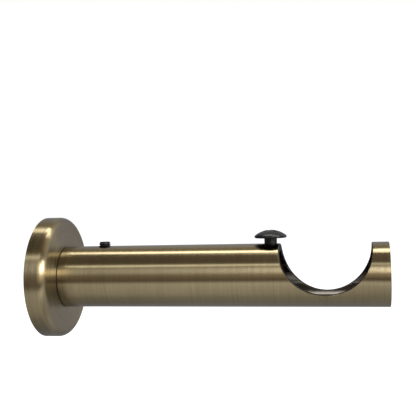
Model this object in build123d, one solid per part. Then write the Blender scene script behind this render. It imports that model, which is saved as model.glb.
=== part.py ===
from build123d import *
import math
import os

# Curtain pole bracket: a turned wall rose, a tubular barrel with a saddle cup for the pole, and
# the hidden plate and spigot that carry them. Millimetres. The origin is the centre of the rose
# on the wall, +X runs out from the wall along the barrel, +Z is up and the pole lies along Y.

# Barrel
reach = 111.0
barrel_diameter = 20.0
barrel_wall = 2.0
barrel_joint_break = 0.3
barrel_end_break = 0.15

# Cup for the pole, the tube left beyond it and the height of the pole's centre over the barrel's
pole_diameter = 28.0
pole_clearance = 0.05
beyond_cup = 5.15
pole_height = 8.5
cup_edge_break = 0.25

# Wall rose
rose_diameter = 39.4
rose_thickness = 6.6
rose_edge_round = 2.3
rose_back_wall = 2.7

# Wall plate and its countersunk screw holes
plate_thickness = 3.0
plate_clearance = 0.3
wall_screw_count = 3
wall_screw_circle = 24.5
wall_screw_hole = 4.2
wall_screw_head = 7.6
wall_screw_first_angle = 90.0

# Spigot that carries the barrel
spigot_end = 32.0
spigot_clearance = 0.05
spigot_lead_in = 0.8
tenon_diameter = 8.0
rose_spigot_clearance = 0.1

# Grub screw that locks the barrel on the spigot
grub_distance = 19.8
grub_diameter = 4.0
grub_proud = 1.4
grub_spot_depth = 0.45
grub_edge_break = 0.35
grub_socket = 2.0
grub_socket_depth = 1.8

# Screw that holds the pole down, beside the cup
screw_to_cup = 3.0
pole_screw_diameter = 4.0
pole_screw_length = 12.0
pole_screw_gap = 1.7
head_diameter = 10.4
head_rim = 0.5
head_height = 2.8
recess_width = 1.1
recess_span = 4.6
recess_depth = 1.9
screw_clearance = 0.05

# End cap pressed into the open end of the barrel
cap_thickness = 4.0
cap_edge_break = 0.25

# Sizes that follow from those above
barrel_radius = barrel_diameter / 2
bore_radius = barrel_radius - barrel_wall
spigot_radius = bore_radius - spigot_clearance
cup_radius = pole_diameter / 2 + pole_clearance
pole_distance = reach - beyond_cup - cup_radius
pole_screw_distance = pole_distance - cup_radius - screw_to_cup
rose_radius = rose_diameter / 2
plate_radius = rose_radius - rose_back_wall - plate_clearance
rose_recess_depth = plate_thickness
grub_radius = grub_diameter / 2
grub_bottom = spigot_radius - grub_spot_depth
grub_top = barrel_radius + grub_proud
head_underside = barrel_radius + pole_screw_gap
past = 1.0


def turned(corners):
    """A solid turned about the X axis from the (distance, radius) corners of its half section."""
    outline = Polyline(*corners, close=True)
    return revolve(make_face(outline), Axis.X)


def upright(distance, radius, bottom, top):
    """A round bar that stands along Z at a distance from the wall."""
    return Pos(distance, 0, (bottom + top) / 2) * Cylinder(radius, top - bottom)


def tapped_hole(distance, screw_diameter):
    """The tool for an upright hole through the top wall of the barrel."""
    return upright(distance, screw_diameter / 2 + screw_clearance, 0, barrel_radius + past)


def wall_rose():
    """Turned cover disc, hollow at the back for the plate, with a well rounded front edge."""
    hole_radius = spigot_radius + rose_spigot_clearance
    recess_radius = rose_radius - rose_back_wall
    rose = turned([
        (0, rose_radius),
        (rose_thickness, rose_radius),
        (rose_thickness, hole_radius),
        (rose_recess_depth, hole_radius),
        (rose_recess_depth, recess_radius),
        (0, recess_radius),
    ])
    front = rose.faces().sort_by(Axis.X)[-1]
    rim = front.edges().sort_by(SortBy.RADIUS)[-1]
    return fillet(rim, rose_edge_round)


def wall_plate():
    """Steel disc that is screwed to the wall and has the spigot riveted into its middle."""
    plate = turned([
        (0, plate_radius),
        (plate_thickness, plate_radius),
        (plate_thickness, tenon_diameter / 2),
        (0, tenon_diameter / 2),
    ])
    hole_radius = wall_screw_hole / 2
    head_radius = wall_screw_head / 2
    countersink = head_radius - hole_radius
    hole = turned([
        (-past, 0),
        (-past, hole_radius),
        (plate_thickness - countersink, hole_radius),
        (plate_thickness + past, head_radius + past),
        (plate_thickness + past, 0),
    ])
    for index in range(wall_screw_count):
        angle = math.radians(wall_screw_first_angle + index * 360 / wall_screw_count)
        across = wall_screw_circle / 2 * math.cos(angle)
        up = wall_screw_circle / 2 * math.sin(angle)
        plate -= Pos(0, across, up) * hole
    return plate


def spigot():
    """Steel bar inside the barrel, with a tenon through the plate and a spot for the grub screw."""
    bar = turned([
        (0, 0),
        (0, tenon_diameter / 2),
        (plate_thickness, tenon_diameter / 2),
        (plate_thickness, spigot_radius),
        (spigot_end - spigot_lead_in, spigot_radius),
        (spigot_end, spigot_radius - spigot_lead_in),
        (spigot_end, 0),
    ])
    spot = upright(grub_distance, grub_radius + screw_clearance, grub_bottom, barrel_radius)
    return bar - spot


def barrel():
    """Brass tube with the saddle cup cut through it and tapped for the two screws."""
    tube = turned([
        (rose_thickness, bore_radius),
        (rose_thickness, barrel_radius - barrel_joint_break),
        (rose_thickness + barrel_joint_break, barrel_radius),
        (reach - barrel_end_break, barrel_radius),
        (reach, barrel_radius - barrel_end_break),
        (reach, bore_radius),
    ])
    cutter_length = barrel_diameter + 2 * past
    cup = Pos(pole_distance, 0, pole_height) * Rot(90, 0, 0) * Cylinder(cup_radius, cutter_length)
    tube -= cup
    saddle = [face for face in tube.faces() if is_cup_face(face)]
    edges = [edge for face in saddle for edge in face.edges() if edge.length > barrel_radius]
    tube = chamfer(edges, cup_edge_break)
    tube -= tapped_hole(grub_distance, grub_diameter)
    tube -= tapped_hole(pole_screw_distance, pole_screw_diameter)
    return tube


def is_cup_face(face):
    """Whether a face of the barrel was cut by the cup."""
    middle = face.position_at(0.5, 0.5)
    from_axis = math.hypot(middle.X - pole_distance, middle.Z - pole_height)
    return abs(from_axis - cup_radius) < cup_edge_break / 10


def end_cap():
    """Plain disc pressed flush into the outer end of the barrel."""
    return turned([
        (reach - cap_thickness, 0),
        (reach - cap_thickness, bore_radius),
        (reach - cap_edge_break, bore_radius),
        (reach, bore_radius - cap_edge_break),
        (reach, 0),
    ])


def grub_screw():
    """Hexagon socket set screw, tipped on the spigot and standing a little proud of the barrel."""
    body = upright(grub_distance, grub_radius, grub_bottom, grub_top)
    ends = body.edges().filter_by(GeomType.CIRCLE)
    body = chamfer(ends, grub_edge_break)
    hexagon = RegularPolygon(grub_socket / 2, 6, major_radius=False)
    socket = extrude(hexagon, grub_socket_depth + past)
    return body - Pos(grub_distance, 0, grub_top - grub_socket_depth) * socket


def mushroom_head():
    """Low domed head with a thin rim, its underside at height zero."""
    radius = head_diameter / 2
    dome = head_height - head_rim
    section = make_face([
        Line((0, 0), (radius, 0)),
        Line((radius, 0), (radius, head_rim)),
        SagittaArc((radius, head_rim), (0, head_height), dome_sagitta(radius, dome)),
        Line((0, head_height), (0, 0)),
    ])
    return revolve(Plane.XZ * section, Axis.Z)


def dome_sagitta(radius, height):
    """How far half of a dome's arc stands off its chord."""
    sphere = (radius ** 2 + height ** 2) / (2 * height)
    half_chord = math.hypot(radius, height) / 2
    return -(sphere - math.sqrt(sphere ** 2 - half_chord ** 2))


def cross_recess():
    """Cross-shaped recess that narrows to a point, its mouth at height zero."""
    wing = Box(recess_span, recess_width, 2 * recess_depth)
    wings = wing + Rot(0, 0, 90) * wing
    taper = Pos(0, 0, -recess_depth / 2) * Cone(recess_width / 2, recess_span / 2, recess_depth)
    above = Pos(0, 0, past / 2) * Cylinder(recess_span / 2, past)
    return wings & (taper + above)


def pole_screw():
    """Mushroom-headed machine screw in the top of the barrel, its head over the cup's edge."""
    tip = head_underside - pole_screw_length
    shank = upright(0, pole_screw_diameter / 2, tip, head_underside)
    shank = chamfer(shank.edges().sort_by(Axis.Z)[0], grub_edge_break)
    head = Pos(0, 0, head_underside) * (mushroom_head() - Pos(0, 0, head_height) * cross_recess())
    return Pos(pole_screw_distance, 0, 0) * (shank + head)


def main():
    """Writes each piece to its own file."""
    pieces = {
        "wall_rose": wall_rose(),
        "wall_plate": wall_plate(),
        "spigot": spigot(),
        "barrel": barrel(),
        "end_cap": end_cap(),
        "grub_screw": grub_screw(),
        "pole_screw": pole_screw(),
    }
    os.makedirs("parts", exist_ok=True)
    for name, piece in pieces.items():
        export_step(piece, f"parts/{name}.step")


main()
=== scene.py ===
"""The look of the curtain pole bracket: brushed antique brass, black screws and a pale studio."""
import math

import bmesh
import bpy
from mathutils import Matrix, Vector

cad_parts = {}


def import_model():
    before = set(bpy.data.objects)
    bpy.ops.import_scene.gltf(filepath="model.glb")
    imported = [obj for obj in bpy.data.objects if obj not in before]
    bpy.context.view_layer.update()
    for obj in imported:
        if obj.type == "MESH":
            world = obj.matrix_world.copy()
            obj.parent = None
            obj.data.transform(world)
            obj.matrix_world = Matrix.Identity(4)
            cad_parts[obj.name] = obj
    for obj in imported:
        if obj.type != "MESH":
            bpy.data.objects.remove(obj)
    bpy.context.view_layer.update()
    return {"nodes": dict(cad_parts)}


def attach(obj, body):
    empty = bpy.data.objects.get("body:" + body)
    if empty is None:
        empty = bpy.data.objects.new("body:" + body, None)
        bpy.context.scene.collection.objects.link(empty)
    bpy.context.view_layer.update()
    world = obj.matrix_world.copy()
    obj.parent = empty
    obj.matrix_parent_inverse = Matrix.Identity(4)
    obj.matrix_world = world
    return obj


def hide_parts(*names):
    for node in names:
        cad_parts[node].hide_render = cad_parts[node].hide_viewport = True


MM = 0.001

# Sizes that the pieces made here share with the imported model, in millimetres
BARREL_RADIUS = 10.0
BARREL_END = 111.0
BORE_RADIUS = 8.0
POLE_SCREW_X = 74.75
POLE_SCREW_UNDERSIDE = 11.7
POLE_SCREW_LENGTH = 12.0
SCREW_DIAMETER = 4.0
RECESS_WIDTH = 1.1
RECESS_DEPTH = 1.9
GRUB_X = 19.8
GRUB_BOTTOM = 7.5
GRUB_TOP = 11.4
GRUB_SOCKET = 2.0
GRUB_SOCKET_DEPTH = 1.8

# The pole screw's head, with a rounded rim and a dome
HEAD_RIM_DIAMETER = 10.2
HEAD_RIM_ROUND = 0.5
HEAD_DOME_HEIGHT = 2.6

# The head's cross recess: the span of its cutter at the cutter's top, which stands above the dome,
# its span and width at the floor, and its turn in degrees
RECESS_CUTTER_SPAN = 7.9
RECESS_FLOOR_SPAN = 2.4
RECESS_FLOOR_WIDTH = 0.66
RECESS_TURN = -46.0

# Metric coarse thread of a 4 mm screw, and the plain neck under the head
THREAD_PITCH = 0.7
THREAD_DEPTH = 0.43
THREAD_LEAD_IN = 0.5
POLE_SCREW_NECK = 2.2

# How fast a thread's groove deepens on its way from crest to root, and how much of that depth the
# flat crest takes away
FLANK_SLOPE = 1.5
CREST_FLAT = 0.2

# How far a cutter stands out of the piece it cuts
PAST = 0.5

# Fineness of the meshes: steps round the head and round a thread, up one pitch of a thread and along
# the head's two arcs, the millimetres within which points merge, and the degrees of a sharp edge
HEAD_SEGMENTS = 96
THREAD_SEGMENTS = 48
PITCH_ROWS = 8
RIM_STEPS = 12
DOME_STEPS = 20
MERGE_DISTANCE = 0.0005
SHARP_ANGLE = 35.0

# Colours, from dark to light where they are uneven
BRASS_TONES = ((0.21, 0.17, 0.098, 1), (0.31, 0.256, 0.155, 1))
# Painted shade: the tube's cut walls are coloured near black for the shade deep inside the cup
CUT_WALL_PAINTED_SHADE = (0.024, 0.023, 0.024, 1)
# Painted shade: the tube's bore is coloured dark for the shade down inside the tube
BORE_PAINTED_SHADE = (0.08, 0.072, 0.064, 1)
BLACK_TONES = ((0.003, 0.003, 0.004, 1), (0.012, 0.012, 0.013, 1))
ZINC_TONES = ((0.36, 0.37, 0.38, 1), (0.52, 0.52, 0.51, 1))
FLOOR_COLOUR = (0.85, 0.85, 0.85, 1)
WHITE = (1, 1, 1, 1)

# Brushed lines to the millimetre, and the roughness in the smoothest and in the roughest of them
TURNED_LINES = 2.5
TURNED_ROUGHNESS = (0.22, 0.36)
TUBE_LINES = 7.0
TUBE_ROUGHNESS = (0.22, 0.29)

# How far the fine lines, the broad lines and the patina shift the brass between its two tones
FINE_SHIFT = 0.5
BROAD_SHIFT = 0.35
PATINA_SHIFT = 0.25

# Where the tube's painted shade starts, on its cut walls and in its bore, in millimetres off its
# outside,
# its end and its bore: the distance where a change starts and the one where it is full
CUT_WALL_OFF_OUTSIDE = (-0.1, -0.18)
CUT_WALL_OFF_END = (-0.1, -0.2)
BORE_TONE_OFF_BORE = (0.12, 0.04)

# How much rougher the tube's cut walls are than its brushed outside
RAW_ROUGHER = 0.7

# Sockets of a Mix node that carry colours
MIX_FIRST = 6
MIX_SECOND = 7
MIX_RESULT = 2

# Camera: place in millimetres, turns in degrees, focal length for a 36 mm sensor, clip in metres
CAMERA_PLACE = (99.94, -225.80, 21.15)
CAMERA_YAW = 11.330
CAMERA_PITCH = -0.167
CAMERA_ROLL = 1.465
CAMERA_LENS = 62.192
CAMERA_CLIP = (0.01, 50)
SENSOR = 36.0

# Tints of the light that comes from the parts of the studio
WARM = (1.0, 0.86, 0.72)
GOLD = (1.0, 0.97, 0.68)
PLAIN = (1.0, 1.0, 1.0)
COOL = (0.98, 1.0, 1.14)

# Studio: what the metal mirrors in each direction round the barrel's axis, as an angle that is
# level at the front and rises over the top towards the back, with the brightness on the left and
# on the right, and the tint
STUDIO_BANDS = (
    (-180, 0.50, 0.33, COOL),
    (-140, 0.40, 0.27, COOL),
    (-112, 0.47, 0.42, COOL),
    (-85, 0.72, 0.38, PLAIN),
    (-73, 1.18, 0.28, PLAIN),
    (-60, 1.48, 0.32, PLAIN),
    (-45, 1.62, 0.45, PLAIN),
    (-27, 1.48, 0.95, PLAIN),
    (-14, 0.56, 0.03, WARM),
    (0, 0.32, 0.72, WARM),
    (8, 0.24, 1.05, WARM),
    (17, 0.62, 1.10, PLAIN),
    (30, 0.92, 1.20, PLAIN),
    (35.5, 0.68, 0.30, GOLD),
    (42, 5.60, 0.02, PLAIN),
    (48, 0.64, 0.02, GOLD),
    (56, 0.28, 0.24, WARM),
    (88, 0.25, 0.38, WARM),
    (110, 0.50, 0.42, GOLD),
    (122, 0.64, 0.50, WARM),
    (134, 0.74, 0.48, PLAIN),
    (155, 0.54, 0.36, COOL),
    (180, 0.50, 0.33, COOL),
)

# The sideways part of the direction where the bands are wholly the left ones or the right ones
STUDIO_LEFT = -0.45
STUDIO_RIGHT = 0.3

# How the bands dim towards the far left and brighten towards the far right: the factor reached
# there, and the sideways part of the direction where the change starts and where it is full
FAR_LEFT = 0.3
FAR_LEFT_START = -0.3
FAR_LEFT_FULL = -0.47
FAR_RIGHT = 2.0
FAR_RIGHT_START = 0.2
FAR_RIGHT_FULL = 0.55

# Even brightness of the studio, as it lights what doesn't mirror it
AMBIENT = 0.7

# Strips over the barrel, at one height in metres and each between two of those angles and two
# ends; the short one lies in front of the right part of the long one
STRIP_ANGLES = (95.6, 105.4)
STRIP_ENDS = (-0.2, 0.42)
FRONT_STRIP_ANGLES = (86.8, 95.6)
FRONT_STRIP_ENDS = (0.11, 0.26)
STRIP_HEIGHT = 0.5
STRIP_COLOUR = (0.99, 0.98, 0.95)
STRIP_RADIANCE = 7.2

# Boxes at the front right and at the right, turned towards the rose, in metres
FRONT_BOX_PLACE = (0.43, -0.48, 0.19)
FRONT_BOX_SIZE = (0.4, 0.18)
FRONT_BOX_RADIANCE = 7.8
SIDE_BOX_PLACE = (0.55, -0.24, 0.17)
SIDE_BOX_SIZE = (0.12, 0.16)
SIDE_BOX_RADIANCE = 25.0
ROSE_PLACE = (0, 0, 0)

# Floor, in metres, and the light that it gives to the camera alone
FLOOR_HEIGHT = -0.06
FLOOR_SIZE = 6.0
FLOOR_LIFT = 0.5


def add_node(tree, kind, inputs=None, **settings):
    """A shader node with its settings, and its inputs given as values or as sockets to link."""
    made = tree.nodes.new("ShaderNode" + kind)
    for name, value in settings.items():
        setattr(made, name, value)
    for key, value in (inputs or {}).items():
        if isinstance(value, bpy.types.NodeSocket):
            tree.links.new(value, made.inputs[key])
        else:
            made.inputs[key].default_value = value
    return made


def new_material(name):
    """An empty node material, with its tree and its output node."""
    material = bpy.data.materials.new(name)
    material.use_nodes = True
    tree = material.node_tree
    tree.nodes.clear()
    return material, tree, tree.nodes.new("ShaderNodeOutputMaterial")


def add_surface(tree, output, inputs):
    """Gives a material a Principled shader with these inputs."""
    shader = add_node(tree, "BsdfPrincipled", inputs)
    tree.links.new(shader.outputs["BSDF"], output.inputs["Surface"])


def mapped(tree, value, low, high):
    """A 0 to 1 value spread over another range."""
    return add_node(tree, "MapRange", {
        "Value": value, "To Min": low, "To Max": high}).outputs["Result"]


def risen(tree, value, start, end):
    """0 before the start and 1 after the end of a range of the value."""
    return add_node(tree, "MapRange", {
        "Value": value, "From Min": start, "From Max": end}).outputs["Result"]


def combined(tree, first, second, operation):
    """The sum, product or other combination of two values."""
    return add_node(tree, "Math", {0: first, 1: second}, operation=operation).outputs["Value"]


def blended(tree, share, first, second):
    """The first colour turning into the second as the share rises to 1."""
    inputs = {"Factor": share, MIX_FIRST: first, MIX_SECOND: second}
    return add_node(tree, "Mix", inputs, data_type="RGBA").outputs[MIX_RESULT]


def toned(tree, share, tones):
    """A colour between a dark and a light tone."""
    node = add_node(tree, "ValToRGB", {"Fac": share})
    for element, tone in zip(node.color_ramp.elements, tones):
        element.color = tone
    return node.outputs["Color"]


def clouds(tree, scale, detail, roughness):
    """Noise that is as fine in every direction."""
    place = add_node(tree, "TexCoord").outputs["Object"]
    return add_node(tree, "TexNoise", {
        "Vector": place, "Scale": scale, "Detail": detail, "Roughness": roughness}).outputs["Fac"]


def axis_parts(tree):
    """The distance along the X axis, the distance from it and the place across it."""
    place = add_node(tree, "TexCoord").outputs["Object"]
    parts = add_node(tree, "SeparateXYZ", {"Vector": place})
    across = add_node(tree, "CombineXYZ", {
        "Y": parts.outputs["Y"], "Z": parts.outputs["Z"]}).outputs["Vector"]
    radius = add_node(tree, "VectorMath", {0: across}, operation="LENGTH").outputs["Value"]
    return parts.outputs["X"], radius, across


def ring_lines(tree, per_mm, drift):
    """Noise drawn out into lines round the X axis, as turning and brushing on a lathe leave."""
    along, radius, across = axis_parts(tree)
    path = combined(tree, along, radius, "ADD")
    scaled = combined(tree, path, per_mm / MM, "MULTIPLY")
    around = add_node(tree, "VectorMath", {0: across, "Scale": drift / MM}, operation="SCALE")
    turned = add_node(tree, "SeparateXYZ", {"Vector": around.outputs["Vector"]})
    where = add_node(tree, "CombineXYZ", {
        "X": scaled, "Y": turned.outputs["Y"], "Z": turned.outputs["Z"]}).outputs["Vector"]
    return add_node(tree, "TexNoise", {
        "Vector": where, "Scale": 1.0, "Detail": 3.0, "Roughness": 0.6}).outputs["Fac"]


def brass_tone(tree, fine):
    """The uneven antique colour, from its brushed lines and a cloudy patina."""
    broad = ring_lines(tree, per_mm=0.9, drift=0.03)
    patina = clouds(tree, scale=90.0, detail=3.0, roughness=0.55)
    fine_part = mapped(tree, fine, -FINE_SHIFT, FINE_SHIFT)
    broad_part = mapped(tree, broad, -BROAD_SHIFT, BROAD_SHIFT)
    patina_part = mapped(tree, patina, 0.5 - PATINA_SHIFT, 0.5 + PATINA_SHIFT)
    lines = combined(tree, fine_part, broad_part, "ADD")
    return toned(tree, combined(tree, lines, patina_part, "ADD"), BRASS_TONES)


def passed(tree, value, size, distances):
    """How far a value has passed from the first to the second distance off a size."""
    start, full = distances
    return risen(tree, value, (size + start) * MM, (size + full) * MM)


def rough_inside_with_painted_shade(tree, colour, roughness):
    """A tube's colour and roughness, made dark by painted shade in its bore, and dark by painted
    shade and rough on its cut walls.
    """
    along, radius, _ = axis_parts(tree)
    deep = passed(tree, radius, BARREL_RADIUS, CUT_WALL_OFF_OUTSIDE)
    short = passed(tree, along, BARREL_END, CUT_WALL_OFF_END)
    bore = passed(tree, radius, BORE_RADIUS, BORE_TONE_OFF_BORE)
    inside = combined(tree, deep, short, "MULTIPLY")
    # Painted shade: near black on the cut walls and dark brown in the bore, where the deep cup and
    # tube lie in shade
    colour = blended(tree, inside, colour, CUT_WALL_PAINTED_SHADE)
    colour = blended(tree, bore, colour, BORE_PAINTED_SHADE)
    roughness = combined(tree, roughness, mapped(tree, inside, 0, RAW_ROUGHER), "ADD")
    roughness = combined(tree, roughness, mapped(tree, bore, 0, RAW_ROUGHER), "SUBTRACT")
    return colour, roughness


def antique_brass(name, lines_per_mm, roughness_range, is_tube):
    """Brass darkened to an antique tone and brushed round the axis; on a tube, with painted shade in
    its bore and on its cut walls.
    """
    material, tree, output = new_material(name)
    fine = ring_lines(tree, per_mm=lines_per_mm, drift=0.08)
    colour = brass_tone(tree, fine)
    roughness = mapped(tree, fine, *roughness_range)
    if is_tube:
        colour, roughness = rough_inside_with_painted_shade(tree, colour, roughness)
    bump = add_node(tree, "Bump", {"Height": fine, "Strength": 0.12, "Distance": 0.00002})
    tangent = add_node(tree, "Tangent", direction_type="RADIAL", axis="X")
    add_surface(tree, output, {
        "Base Color": colour,
        "Metallic": 1.0,
        "Roughness": roughness,
        "Anisotropic": 0.95,
        "Anisotropic Rotation": 0.25,
        "Tangent": tangent.outputs["Tangent"],
        "Normal": bump.outputs["Normal"],
    })
    return material


def black_steel():
    """Black zinc on steel: dark, slightly uneven, with a soft sheen."""
    material, tree, output = new_material("black_zinc_steel")
    grain = clouds(tree, scale=1800.0, detail=3.0, roughness=0.6)
    bump = add_node(tree, "Bump", {"Height": grain, "Strength": 0.15, "Distance": 0.00003})
    add_surface(tree, output, {
        "Base Color": toned(tree, grain, BLACK_TONES),
        "Metallic": 0.0,
        "Roughness": mapped(tree, grain, 0.2, 0.32),
        "Specular IOR Level": 0.26,
        "Normal": bump.outputs["Normal"],
    })
    return material


def plated_steel():
    """Bright zinc plate on the hidden steel pieces, faintly clouded."""
    material, tree, output = new_material("zinc_plated_steel")
    cloud = clouds(tree, scale=350.0, detail=4.0, roughness=0.6)
    add_surface(tree, output, {
        "Base Color": toned(tree, cloud, ZINC_TONES),
        "Metallic": 1.0,
        "Roughness": mapped(tree, cloud, 0.28, 0.48),
    })
    return material


def clean(bm):
    """Merges points that coincide and drops faces without area."""
    bmesh.ops.remove_doubles(bm, verts=bm.verts, dist=MERGE_DISTANCE)
    bmesh.ops.dissolve_degenerate(bm, edges=bm.edges, dist=MERGE_DISTANCE)


def mesh_object(name, bm, material):
    """An object from a bmesh in millimetres, cleaned and with its normals outward."""
    clean(bm)
    bmesh.ops.recalc_face_normals(bm, faces=bm.faces)
    bmesh.ops.scale(bm, vec=Vector((MM, MM, MM)), verts=bm.verts)
    mesh = bpy.data.meshes.new(name)
    bm.to_mesh(mesh)
    bm.free()
    mesh.materials.append(material)
    piece = bpy.data.objects.new(name, mesh)
    bpy.context.scene.collection.objects.link(piece)
    return piece


def cut(piece, cutter):
    """Takes the cutter's shape out of the piece and removes the cutter."""
    difference = piece.modifiers.new("cut", "BOOLEAN")
    difference.object = cutter
    difference.solver = "EXACT"
    graph = bpy.context.evaluated_depsgraph_get()
    mesh = bpy.data.meshes.new_from_object(piece.evaluated_get(graph))
    piece.modifiers.clear()
    piece.data = mesh
    bpy.data.objects.remove(cutter)


def shade_smooth(piece):
    """Smooth shading with the corners kept sharp."""
    mesh = piece.data
    mesh.polygons.foreach_set("use_smooth", [True] * len(mesh.polygons))
    mesh.set_sharp_from_angle(angle=math.radians(SHARP_ANGLE))


def lathe(bm, x, profile):
    """Faces turned about the upright line at x, from (radius, height) points; radius 0 closes."""
    rings = []
    for radius, height in profile:
        if radius == 0:
            rings.append([bm.verts.new((x, 0, height))])
            continue
        ring = []
        for step in range(HEAD_SEGMENTS):
            turn = 2 * math.pi * step / HEAD_SEGMENTS
            corner = (x + radius * math.cos(turn), radius * math.sin(turn), height)
            ring.append(bm.verts.new(corner))
        rings.append(ring)
    for low, high in zip(rings, rings[1:]):
        for step in range(HEAD_SEGMENTS):
            after = (step + 1) % HEAD_SEGMENTS
            corners = [low[step % len(low)], low[after % len(low)],
                       high[after % len(high)], high[step % len(high)]]
            bm.faces.new(list(dict.fromkeys(corners)))


def arc(centre, radius, start, end, steps):
    """Points of a circular arc in a profile, its angles in degrees above the outward direction."""
    points = []
    for step in range(steps + 1):
        turn = math.radians(start + (end - start) * step / steps)
        points.append((centre[0] + radius * math.cos(turn), centre[1] + radius * math.sin(turn)))
    return points


def thread_radius(share, above_tip, below_top, has_neck):
    """Radius of a thread at a share of its pitch, tapered at its ends or run out into a neck."""
    crest = SCREW_DIAMETER / 2
    from_crest = 1 - abs(share % 1 * 2 - 1)
    groove = THREAD_DEPTH * min(1, max(0, from_crest * FLANK_SLOPE - CREST_FLAT))
    taper = max(0, THREAD_LEAD_IN - above_tip)
    if has_neck:
        groove *= min(1, max(0, below_top - POLE_SCREW_NECK) / THREAD_PITCH)
    else:
        taper = max(taper, THREAD_LEAD_IN - below_top)
    return min(crest - groove, crest - taper)


def threaded_bar(bm, x, bottom, top, has_neck):
    """A closed threaded bar along the upright line at x, its rows climbing one pitch a turn."""
    pitches = math.ceil((top - bottom) / THREAD_PITCH) + 1
    grid = []
    for row in range(-PITCH_ROWS, pitches * PITCH_ROWS + 1):
        line = []
        for step in range(THREAD_SEGMENTS):
            height = bottom + THREAD_PITCH * (row / PITCH_ROWS + step / THREAD_SEGMENTS)
            height = min(max(height, bottom), top)
            radius = thread_radius(row / PITCH_ROWS, height - bottom, top - height, has_neck)
            turn = 2 * math.pi * step / THREAD_SEGMENTS
            corner = (x + radius * math.cos(turn), radius * math.sin(turn), height)
            line.append(bm.verts.new(corner))
        grid.append(line)
    for low in range(len(grid) - 1):
        for step in range(THREAD_SEGMENTS - 1):
            bm.faces.new([grid[low][step], grid[low][step + 1],
                          grid[low + 1][step + 1], grid[low + 1][step]])
        if low + 1 + PITCH_ROWS < len(grid):
            bm.faces.new([grid[low][-1], grid[low + PITCH_ROWS][0],
                          grid[low + 1 + PITCH_ROWS][0], grid[low + 1][-1]])
    clean(bm)
    bmesh.ops.holes_fill(bm, edges=[edge for edge in bm.edges if edge.is_boundary])


def prism(bm, lower, upper):
    """A closed block between two outlines with as many (x, y, z) corners each."""
    low = [bm.verts.new(corner) for corner in lower]
    high = [bm.verts.new(corner) for corner in upper]
    bm.faces.new(low)
    bm.faces.new(high)
    for index in range(len(low)):
        after = (index + 1) % len(low)
        bm.faces.new([low[index], low[after], high[after], high[index]])


def cross_outline(span, width, height):
    """Corners of a level cross about the pole screw's axis."""
    arm = span / 2
    side = width / 2
    corners = []
    for quarter in range(4):
        angle = math.radians(RECESS_TURN - 90 * quarter)
        for along, across in ((side, side), (arm, side), (arm, -side)):
            x = along * math.cos(angle) - across * math.sin(angle)
            y = along * math.sin(angle) + across * math.cos(angle)
            corners.append((POLE_SCREW_X + x, y, height))
    return corners


def head_profile():
    """Half of the head's outline: its flat underside, its round rim and a dome tangent to that."""
    rim = HEAD_RIM_DIAMETER / 2 - HEAD_RIM_ROUND
    dome = HEAD_DOME_HEIGHT - HEAD_RIM_ROUND
    sphere = (rim ** 2 + dome ** 2 - HEAD_RIM_ROUND ** 2) / (2 * (dome - HEAD_RIM_ROUND))
    meet = math.degrees(math.acos(rim / (sphere - HEAD_RIM_ROUND)))
    profile = [(0, 0)]
    profile += arc((rim, HEAD_RIM_ROUND), HEAD_RIM_ROUND, -90, meet, RIM_STEPS)
    profile += arc((0, HEAD_DOME_HEIGHT - sphere), sphere, meet, 90, DOME_STEPS)[1:-1]
    profile.append((0, HEAD_DOME_HEIGHT))
    return [(radius, POLE_SCREW_UNDERSIDE + height) for radius, height in profile]


def screw_head(black):
    """The mushroom head with its rounded rim and its cross recess."""
    bm = bmesh.new()
    lathe(bm, POLE_SCREW_X, head_profile())
    head = mesh_object("pole_screw_head", bm, black)
    top = POLE_SCREW_UNDERSIDE + HEAD_DOME_HEIGHT
    bm = bmesh.new()
    prism(bm, cross_outline(RECESS_FLOOR_SPAN, RECESS_FLOOR_WIDTH, top - RECESS_DEPTH),
          cross_outline(RECESS_CUTTER_SPAN, RECESS_WIDTH, top + PAST))
    cut(head, mesh_object("recess", bm, black))
    shade_smooth(head)
    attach(head, "pole_screw")
    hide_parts("pole_screw")


def screw_shank(black):
    """The pole screw's shank: a plain neck that enters the head and a thread down to the tip."""
    bottom = POLE_SCREW_UNDERSIDE - POLE_SCREW_LENGTH
    bm = bmesh.new()
    threaded_bar(bm, POLE_SCREW_X, bottom, POLE_SCREW_UNDERSIDE + HEAD_RIM_ROUND, has_neck=True)
    shank = mesh_object("pole_screw_shank", bm, black)
    shade_smooth(shank)
    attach(shank, "pole_screw")


def grub_screw(black):
    """The socket set screw in the top of the barrel, threaded from end to end."""
    bm = bmesh.new()
    threaded_bar(bm, GRUB_X, GRUB_BOTTOM, GRUB_TOP, has_neck=False)
    grub = mesh_object("grub_screw_threaded", bm, black)
    reach = GRUB_SOCKET / 2 / math.cos(math.pi / 6)
    corners = []
    for side in range(6):
        turn = math.pi * side / 3
        corners.append((GRUB_X + reach * math.cos(turn), reach * math.sin(turn)))
    bm = bmesh.new()
    prism(bm, [(x, y, GRUB_TOP - GRUB_SOCKET_DEPTH) for x, y in corners],
          [(x, y, GRUB_TOP + PAST) for x, y in corners])
    cut(grub, mesh_object("socket", bm, black))
    shade_smooth(grub)
    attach(grub, "bracket")
    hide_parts("grub_screw")


def make_camera():
    """The photograph's view, from in front of the cup looking towards the rose."""
    yaw = math.radians(CAMERA_YAW)
    pitch = math.radians(CAMERA_PITCH)
    roll = math.radians(CAMERA_ROLL)
    forward = Vector((
        -math.sin(yaw) * math.cos(pitch),
        math.cos(yaw) * math.cos(pitch),
        -math.sin(pitch),
    ))
    level = Vector((math.cos(yaw), math.sin(yaw), 0))
    down = forward.cross(level)
    right = math.cos(roll) * level + math.sin(roll) * down
    up = math.sin(roll) * level - math.cos(roll) * down
    data = bpy.data.cameras.new("camera")
    data.sensor_width = SENSOR
    data.lens = CAMERA_LENS
    data.clip_start, data.clip_end = CAMERA_CLIP
    camera = bpy.data.objects.new("camera", data)
    turn = Matrix((right, up, -forward)).transposed().to_4x4()
    camera.matrix_world = Matrix.Translation(Vector(CAMERA_PLACE) * MM) @ turn
    bpy.context.scene.collection.objects.link(camera)
    bpy.context.scene.camera = camera


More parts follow.
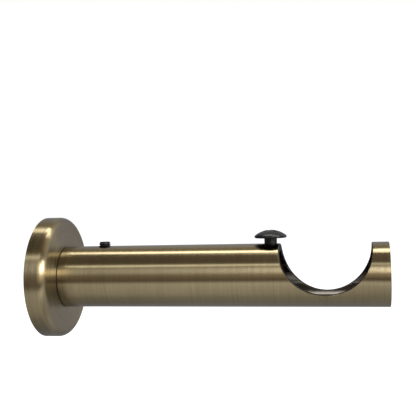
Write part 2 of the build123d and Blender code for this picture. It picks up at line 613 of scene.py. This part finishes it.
def area_lamp(name, place, target, size, radiance, colour=PLAIN):
    """A soft rectangular light, its first side level, equally bright all over its face."""
    data = bpy.data.lights.new(name, "AREA")
    data.color = colour
    data.shape = "RECTANGLE"
    data.size, data.size_y = size
    data.energy = radiance * math.pi * size[0] * size[1]
    lamp = bpy.data.objects.new(name, data)
    lamp.location = place
    lamp.rotation_euler = (Vector(target) - Vector(place)).to_track_quat("-Z", "Y").to_euler()
    lamp.visible_camera = False
    bpy.context.scene.collection.objects.link(lamp)


def strip_lamp(name, angles, ends):
    """A strip along the barrel, seen from it between two angles."""
    near, far = (STRIP_HEIGHT * math.tan(math.radians(angle - 90)) for angle in angles)
    left, right = ends
    place = ((left + right) / 2, (near + far) / 2, STRIP_HEIGHT)
    below = ((left + right) / 2, (near + far) / 2, 0)
    area_lamp(name, place, below, (right - left, far - near), STRIP_RADIANCE, STRIP_COLOUR)


def make_lights():
    """Two strips over the barrel, one long and one short, and two boxes on the right."""
    strip_lamp("strip", STRIP_ANGLES, STRIP_ENDS)
    strip_lamp("front_strip", FRONT_STRIP_ANGLES, FRONT_STRIP_ENDS)
    area_lamp("front_box", FRONT_BOX_PLACE, ROSE_PLACE, FRONT_BOX_SIZE, FRONT_BOX_RADIANCE)
    area_lamp("side_box", SIDE_BOX_PLACE, ROSE_PLACE, SIDE_BOX_SIZE, SIDE_BOX_RADIANCE)


def band_ramp(tree, share, on_left):
    """The bands round the barrel's axis, as bright as on the left or as on the right."""
    node = add_node(tree, "ValToRGB", {"Fac": share})
    ramp = node.color_ramp
    ramp.interpolation = "EASE"
    while len(ramp.elements) < len(STUDIO_BANDS):
        ramp.elements.new(1.0)
    for element, (angle, left, right, tint) in zip(ramp.elements, STUDIO_BANDS):
        brightness = left if on_left else right
        element.position = angle / 360 + 0.5
        element.color = [brightness * part for part in tint] + [1]
    return node.outputs["Color"]


def studio_bands(tree):
    """The studio's colour and strength in each direction."""
    direction = add_node(tree, "TexCoord").outputs["Generated"]
    parts = add_node(tree, "SeparateXYZ", {"Vector": direction})
    front = combined(tree, parts.outputs["Y"], -1.0, "MULTIPLY")
    angle = combined(tree, parts.outputs["Z"], front, "ARCTAN2")
    share = risen(tree, angle, -math.pi, math.pi)
    sideways = parts.outputs["X"]
    rightness = risen(tree, sideways, STUDIO_LEFT, STUDIO_RIGHT)
    left = band_ramp(tree, share, on_left=True)
    right = band_ramp(tree, share, on_left=False)
    dimmed = mapped(tree, risen(tree, sideways, FAR_LEFT_FULL, FAR_LEFT_START), FAR_LEFT, 1.0)
    raised = mapped(tree, risen(tree, sideways, FAR_RIGHT_START, FAR_RIGHT_FULL), 1.0, FAR_RIGHT)
    return blended(tree, rightness, left, right), combined(tree, dimmed, raised, "MULTIPLY")


def make_world():
    """The studio: bands to what mirrors it, an even light to the rest, and white to the camera."""
    world = bpy.data.worlds.new("studio")
    world.use_nodes = True
    tree = world.node_tree
    tree.nodes.clear()
    colour, strength = studio_bands(tree)
    studio = add_node(tree, "Background", {"Color": colour, "Strength": strength})
    even = add_node(tree, "Background", {"Color": WHITE, "Strength": AMBIENT})
    white = add_node(tree, "Background", {"Color": WHITE})
    path = add_node(tree, "LightPath").outputs
    mirrored = combined(tree, path["Is Glossy Ray"], path["Is Transmission Ray"], "MAXIMUM")
    around = add_node(tree, "MixShader", {
        0: mirrored, 1: even.outputs["Background"], 2: studio.outputs["Background"]})
    mix = add_node(tree, "MixShader", {
        0: path["Is Camera Ray"], 1: around.outputs["Shader"], 2: white.outputs["Background"]})
    output = tree.nodes.new("ShaderNodeOutputWorld")
    tree.links.new(mix.outputs["Shader"], output.inputs["Surface"])
    bpy.context.scene.world = world


def make_floor():
    """A pale floor under the object that keeps its shadow and isn't mirrored in the metal."""
    material, tree, output = new_material("pale_floor")
    diffuse = add_node(tree, "BsdfDiffuse", {"Color": FLOOR_COLOUR})
    path = add_node(tree, "LightPath").outputs
    seen = combined(tree, path["Is Camera Ray"], FLOOR_LIFT, "MULTIPLY")
    lift = add_node(tree, "Emission", {"Color": WHITE, "Strength": seen})
    both = add_node(tree, "AddShader", {0: diffuse.outputs["BSDF"], 1: lift.outputs["Emission"]})
    tree.links.new(both.outputs["Shader"], output.inputs["Surface"])
    bm = bmesh.new()
    bmesh.ops.create_grid(bm, x_segments=1, y_segments=1, size=FLOOR_SIZE / 2 / MM)
    bmesh.ops.translate(bm, vec=Vector((0, 0, FLOOR_HEIGHT / MM)), verts=bm.verts)
    floor = mesh_object("floor", bm, material)
    floor.visible_glossy = False


def dress_nodes(frame):
    """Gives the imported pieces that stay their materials."""
    brass = antique_brass("antique_brass_turned", TURNED_LINES, TURNED_ROUGHNESS, is_tube=False)
    steel = plated_steel()
    finish = {
        "wall_rose": brass,
        "barrel": antique_brass("antique_brass_tube", TUBE_LINES, TUBE_ROUGHNESS, is_tube=True),
        "end_cap": brass,
        "wall_plate": steel,
        "spigot": steel,
    }
    for name, material in finish.items():
        frame["nodes"][name].material_slots[0].material = material


def main():
    """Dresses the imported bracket, makes its screws and sets up the studio and the camera."""
    scene = bpy.context.scene
    scene.view_settings.view_transform = "Standard"
    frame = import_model()
    dress_nodes(frame)
    black = black_steel()
    screw_head(black)
    screw_shank(black)
    grub_screw(black)
    make_world()
    make_lights()
    make_floor()
    make_camera()


main()
